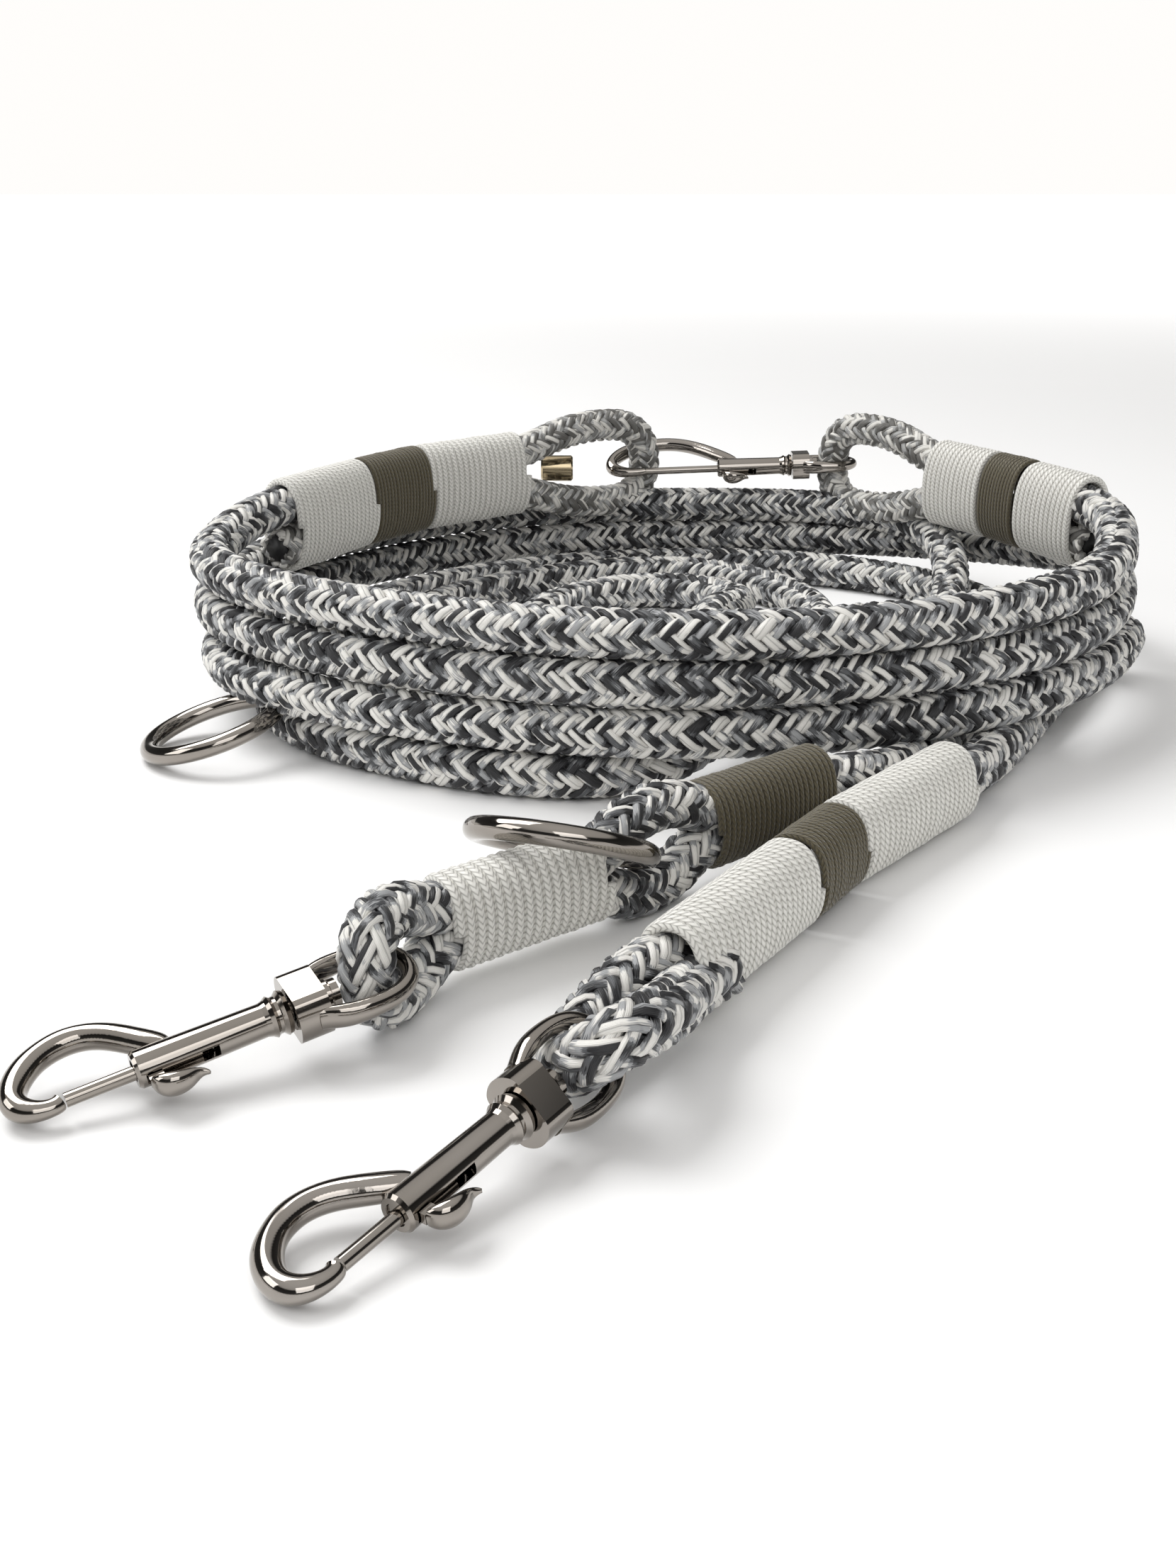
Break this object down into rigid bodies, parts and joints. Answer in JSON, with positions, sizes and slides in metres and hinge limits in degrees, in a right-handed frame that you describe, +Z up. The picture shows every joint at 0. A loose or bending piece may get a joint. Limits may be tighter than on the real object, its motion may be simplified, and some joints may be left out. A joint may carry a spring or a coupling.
{
  "type": "training leash",
  "caption": "Coiled braided rope leash with whipped eyes, sliding-bolt swivel snaps at both loose ends, a closing turn clipped by its own snap, and loose adjustment rings",
  "frame": {"origin": "middle of the whole leash's footprint, on the surface that it lies on", "axes": "+Z up from the surface; -Y towards the two loose ends with their snaps; +X to the right of the coil seen from the loose ends"},
  "size_m": [0.2358, 0.375, 0.0501],
  "materials": {
    "braided_rope": "diamond braid of black, slate, light grey and off-white filament yarns with a satin sheen",
    "white_twine": "tightly wound fine braided off-white twine, satin",
    "olive_twine": "tightly wound fine olive-brown twine with a faint gold thread",
    "nickel": "polished smoke-grey nickel plate",
    "bronze_metal": "polished, warm-tinted metal",
    "spring_steel": "drawn wire"
  },
  "bodies": {
    "root": {"rope_coil": "braided_rope", "rope_closing_strand": "braided_rope", "rope_end_1_legs": "braided_rope", "rope_end_1_eye": "braided_rope", "rope_end_1_upper_leg": "braided_rope", "rope_end_1_lower_leg": "braided_rope", "rope_end_1_lead": "braided_rope", "rope_end_2_legs": "braided_rope", "rope_end_2_eye": "braided_rope", "rope_end_2_lead": "braided_rope", "rope_left_legs": "braided_rope", "rope_left_eye": "braided_rope", "rope_right_legs": "braided_rope", "rope_right_eye": "braided_rope", "whipping_end_1_white": "white_twine", "whipping_end_1_olive": "olive_twine", "whipping_end_2_white_low": "white_twine", "whipping_end_2_olive": "olive_twine", "whipping_end_2_white_high": "white_twine", "whipping_left_white_outer": "white_twine", "whipping_left_olive": "olive_twine", "whipping_left_white_inner": "white_twine", "whipping_right_white_outer": "white_twine", "whipping_right_olive": "olive_twine", "whipping_right_white_inner": "white_twine", "loop_ferrule": "bronze_metal", "snap_3_swivel_eye": "nickel"},
    "front_ring": {"front_ring": "nickel"},
    "left_ring": {"left_ring": "nickel"},
    "snap_1_eye": {"snap_1_swivel_eye": "nickel"},
    "snap_1_hook": {"snap_1_hook_body": "nickel", "snap_1_swivel_rivet": "nickel", "snap_1_bolt_spring": "spring_steel"},
    "snap_1_bolt": {"snap_1_bolt": "nickel"},
    "snap_2_eye": {"snap_2_swivel_eye": "nickel"},
    "snap_2_hook": {"snap_2_hook_body": "nickel", "snap_2_swivel_rivet": "nickel", "snap_2_bolt_spring": "spring_steel"},
    "snap_2_bolt": {"snap_2_bolt": "nickel"},
    "snap_3_hook": {"snap_3_hook_body": "nickel", "snap_3_swivel_rivet": "nickel", "snap_3_bolt_spring": "spring_steel"},
    "snap_3_bolt": {"snap_3_bolt": "nickel"}
  },
  "joints": [
    {"name": "front_ring_swing", "type": "hinge", "parent": "root", "child": "front_ring", "pos_m": [-0.0129, -0.0812, 0.01157], "axis": [-0.5207, 0.797, -0.3061], "range_deg": [0, 120]},
    {"name": "left_ring_swing", "type": "hinge", "parent": "root", "child": "left_ring", "pos_m": [-0.0881, 0.0063, 0.0104], "axis": [-0.1104, 0.9939, -0.0001], "range_deg": [0, 14]},
    {"name": "snap_1_eye_swing", "type": "hinge", "parent": "root", "child": "snap_1_eye", "pos_m": [-0.0525, -0.1251, 0.0109], "axis": [-0.064, -0.2228, 0.9728], "range_deg": [-20, 20]},
    {"name": "snap_1_swivel", "type": "hinge", "parent": "snap_1_eye", "child": "snap_1_hook", "pos_m": [-0.06342, -0.13103, 0.00882], "axis": [-0.8669, -0.4704, -0.1648], "continuous": true},
    {"name": "snap_1_bolt_slide", "type": "slide", "parent": "snap_1_hook", "child": "snap_1_bolt", "axis": [0.8669, 0.4704, 0.1648], "range_m": [0, 0.008], "stiffness_N_per_m": 150, "springref_m": -0.004, "deforming": ["snap_1_bolt_spring"]},
    {"name": "snap_2_eye_swing", "type": "hinge", "parent": "root", "child": "snap_2_eye", "pos_m": [-0.0222, -0.1474, 0.0097], "axis": [0.504, -0.5242, 0.6865], "range_deg": [-15, 15]},
    {"name": "snap_2_swivel", "type": "hinge", "parent": "snap_2_eye", "child": "snap_2_hook", "pos_m": [-0.02991, -0.1572, 0.00788], "axis": [-0.6122, -0.7775, -0.1443], "continuous": true},
    {"name": "snap_2_bolt_slide", "type": "slide", "parent": "snap_2_hook", "child": "snap_2_bolt", "axis": [0.6122, 0.7775, 0.1443], "range_m": [0, 0.008], "stiffness_N_per_m": 150, "springref_m": -0.004, "deforming": ["snap_2_bolt_spring"]},
    {"name": "snap_3_swivel", "type": "hinge", "parent": "root", "child": "snap_3_hook", "pos_m": [0.04081, 0.17269, 0.03448], "axis": [-0.999, 0.015, -0.041], "range_deg": [0, 4]},
    {"name": "snap_3_bolt_slide", "type": "slide", "parent": "snap_3_hook", "child": "snap_3_bolt", "axis": [0.999, -0.015, 0.041], "range_m": [0, 0.008], "stiffness_N_per_m": 150, "springref_m": -0.004, "deforming": ["snap_3_bolt_spring"]}
  ]
}
